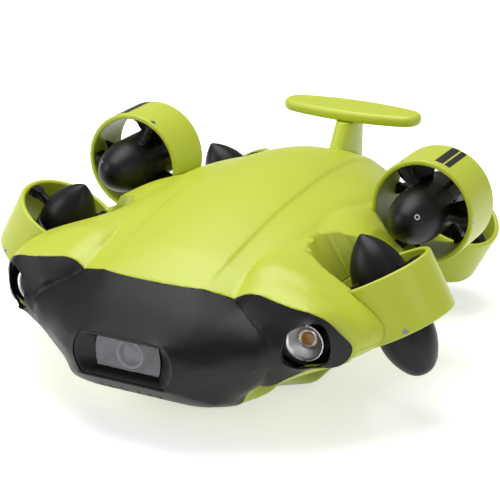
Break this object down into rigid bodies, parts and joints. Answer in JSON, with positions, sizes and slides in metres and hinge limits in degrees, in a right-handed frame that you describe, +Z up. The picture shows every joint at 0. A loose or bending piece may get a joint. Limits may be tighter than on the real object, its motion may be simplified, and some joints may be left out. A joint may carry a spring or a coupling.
{
  "type": "underwater inspection rov",
  "caption": "Compact remotely operated inspection vehicle with a faired hull, canted ducted thrusters along both sides, a front camera window, lamps and a T-shaped carrying handle.",
  "frame": {"origin": "under the middle of the vehicle, in the plane of its flat belly", "axes": "nose along -Y, tail along +Y, +Z up, +X towards the vehicle's port side; the vehicle is symmetric about X = 0"},
  "size_m": [0.329, 0.383, 0.1433],
  "materials": {
    "shell": "satin moulded, yellow-green",
    "duct": "satin moulded, yellow-green",
    "handle": "satin moulded, yellow-green",
    "mask": "satin charcoal black",
    "pod": "satin charcoal black",
    "propeller": "satin black",
    "motor": "coated",
    "steel": "turned, plain",
    "bezel": "satin black",
    "window": "clear, polished",
    "lens": "dark coated",
    "reflector": "bright metallised",
    "emitter": "amber phosphor",
    "socket": "satin black",
    "plate": "coated black",
    "capsule": "anodised",
    "battery": "shrink wrapped",
    "board": "coated circuit board"
  },
  "bodies": {
    "hull": {"battery_pack": "battery", "belly_plate": "plate", "camera_bezel": "bezel", "camera_housing": "bezel", "camera_lens": "lens", "camera_window": "window", "duct_screws": "steel", "front_mask": "mask", "front_port_duct": "duct", "front_port_motor": "motor", "front_port_nose_bracket": "pod", "front_port_tail_bracket": "pod", "front_starboard_duct": "duct", "front_starboard_motor": "motor", "front_starboard_nose_bracket": "pod", "front_starboard_tail_bracket": "pod", "handle_bar": "handle", "handle_post": "handle", "lamp_emitter_port": "emitter", "lamp_emitter_starboard": "emitter", "lamp_reflector_port": "reflector", "lamp_reflector_starboard": "reflector", "lens_barrel": "bezel", "lower_shell": "shell", "main_board": "board", "middle_port_duct": "duct", "middle_port_motor": "motor", "middle_port_nose_bracket": "pod", "middle_port_tail_bracket": "pod", "middle_starboard_duct": "duct", "middle_starboard_motor": "motor", "middle_starboard_nose_bracket": "pod", "middle_starboard_tail_bracket": "pod", "pressure_hull": "capsule", "rear_port_duct": "duct", "rear_port_motor": "motor", "rear_port_nose_bracket": "pod", "rear_port_tail_bracket": "pod", "rear_starboard_duct": "duct", "rear_starboard_motor": "motor", "rear_starboard_nose_bracket": "pod", "rear_starboard_tail_bracket": "pod", "shell_screws": "steel", "tether_socket": "socket", "upper_shell": "shell"},
    "front_port_rotor": {"front_port_propeller": "propeller", "front_port_propeller_shaft": "steel"},
    "front_starboard_rotor": {"front_starboard_propeller": "propeller", "front_starboard_propeller_shaft": "steel"},
    "middle_port_rotor": {"middle_port_propeller": "propeller", "middle_port_propeller_shaft": "steel"},
    "middle_starboard_rotor": {"middle_starboard_propeller": "propeller", "middle_starboard_propeller_shaft": "steel"},
    "rear_port_rotor": {"rear_port_propeller": "propeller", "rear_port_propeller_shaft": "steel"},
    "rear_starboard_rotor": {"rear_starboard_propeller": "propeller", "rear_starboard_propeller_shaft": "steel"}
  },
  "joints": [
    {"name": "front_port_spin", "type": "hinge", "parent": "hull", "child": "front_port_rotor", "pos_m": [0.1239, -0.0702, 0.0762], "axis": [-0.4787, 0, 0.878], "continuous": true},
    {"name": "front_starboard_spin", "type": "hinge", "parent": "hull", "child": "front_starboard_rotor", "pos_m": [-0.1239, -0.0702, 0.0762], "axis": [0.4787, 0, 0.878], "continuous": true},
    {"name": "middle_port_spin", "type": "hinge", "parent": "hull", "child": "middle_port_rotor", "pos_m": [0.1116, 0.0259, 0.107], "axis": [0, 1, 0], "continuous": true},
    {"name": "middle_starboard_spin", "type": "hinge", "parent": "hull", "child": "middle_starboard_rotor", "pos_m": [-0.1116, 0.0259, 0.107], "axis": [0, 1, 0], "continuous": true},
    {"name": "rear_port_spin", "type": "hinge", "parent": "hull", "child": "rear_port_rotor", "pos_m": [0.08366, 0.1183, 0.0546], "axis": [0.4782, -0.1462, 0.866], "continuous": true},
    {"name": "rear_starboard_spin", "type": "hinge", "parent": "hull", "child": "rear_starboard_rotor", "pos_m": [-0.08366, 0.1183, 0.0546], "axis": [-0.4782, -0.1462, 0.866], "continuous": true}
  ]
}
